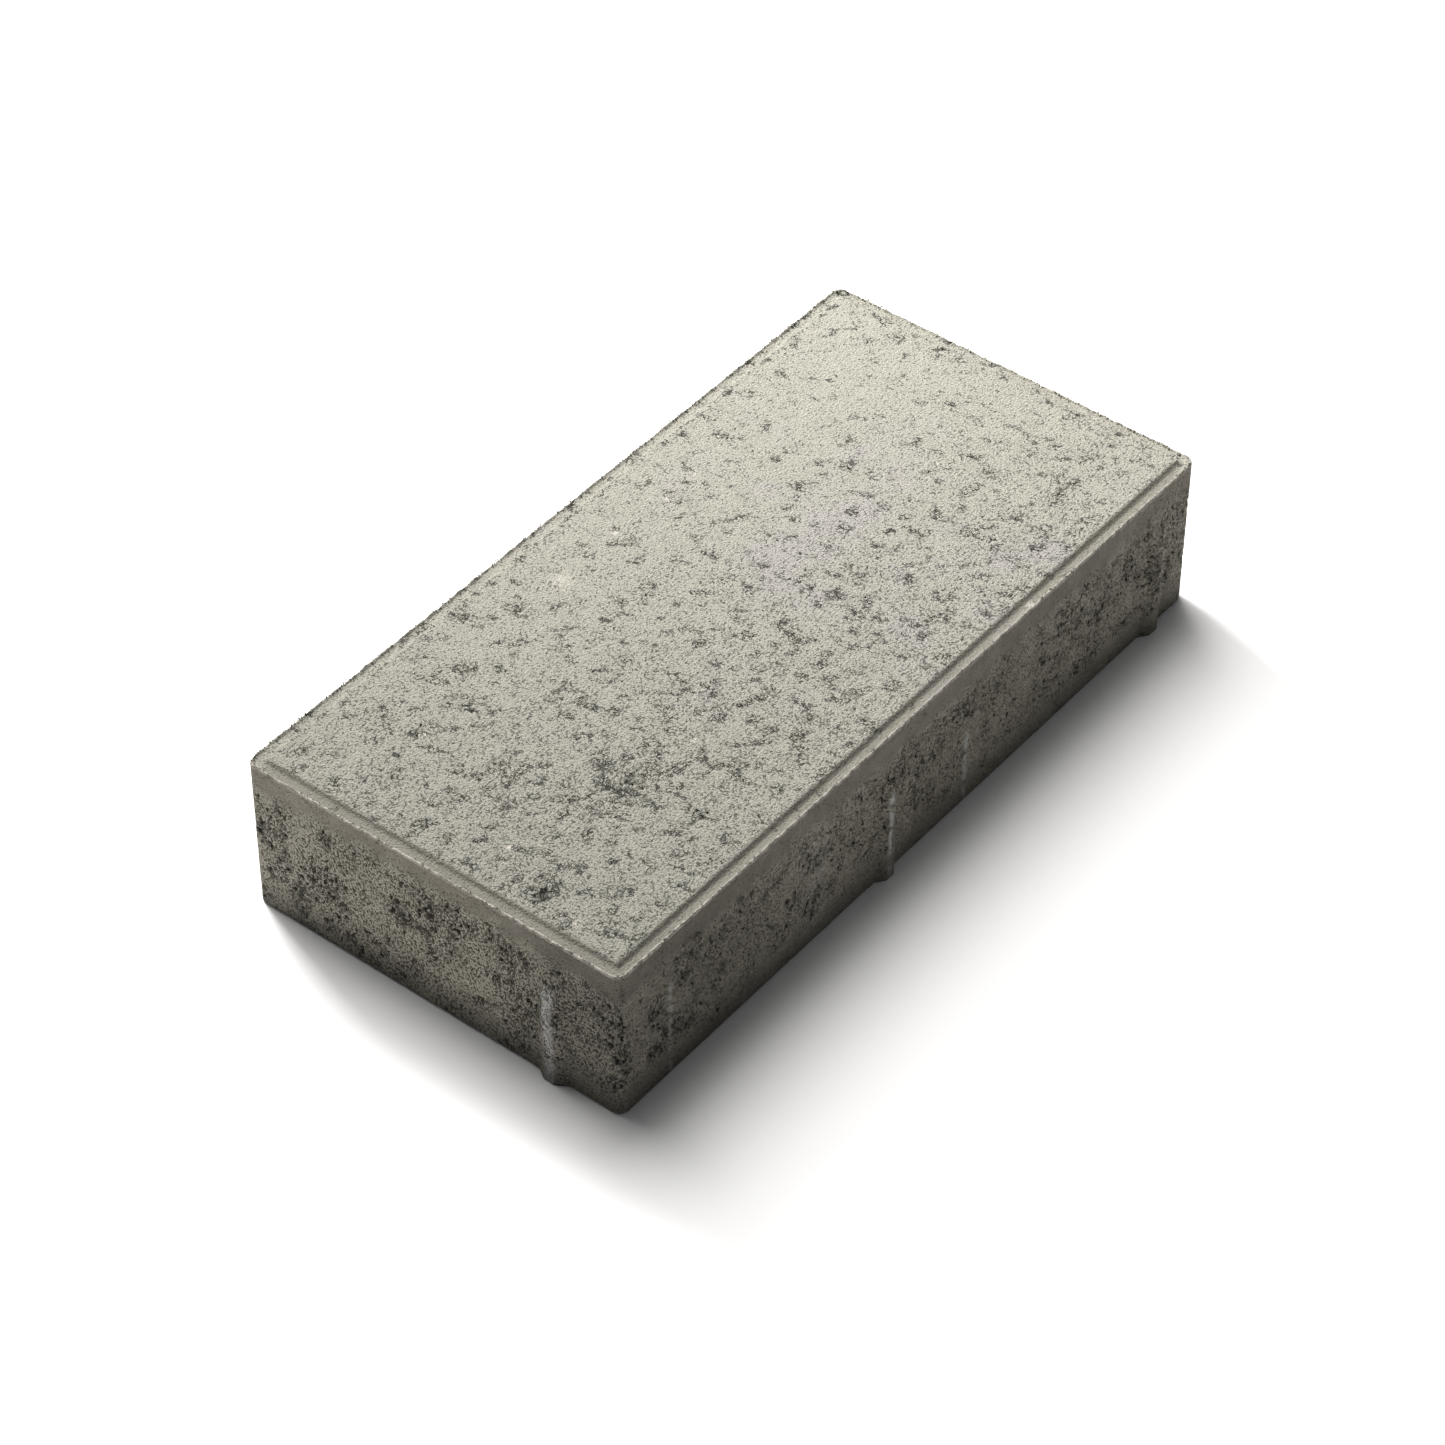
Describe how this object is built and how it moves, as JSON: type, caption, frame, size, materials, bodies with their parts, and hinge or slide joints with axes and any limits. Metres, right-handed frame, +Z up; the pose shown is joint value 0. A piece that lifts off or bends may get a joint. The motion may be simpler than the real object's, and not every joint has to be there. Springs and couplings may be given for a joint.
{
  "type": "concrete paving block",
  "caption": "Rectangular two-layer concrete paving block with a stepped rim around its wearing face and spacer lugs down its sides, for laying paths and drives.",
  "frame": {"origin": "middle of the bed face, the face that the block lies on", "axes": "+X along the block, +Y across it, +Z up out of the wearing face"},
  "size_m": [0.2, 0.1, 0.04],
  "materials": {
    "facing_concrete": "matte",
    "backing_concrete": "matte"
  },
  "bodies": {
    "root": {"core_block": "backing_concrete", "face_layer": "facing_concrete", "spacer_lug_front_mid": "backing_concrete", "spacer_lug_front_right": "backing_concrete", "spacer_lug_back_mid": "backing_concrete", "spacer_lug_back_left": "backing_concrete", "spacer_lug_left_end": "backing_concrete", "spacer_lug_right_end": "backing_concrete"}
  },
  "joints": []
}
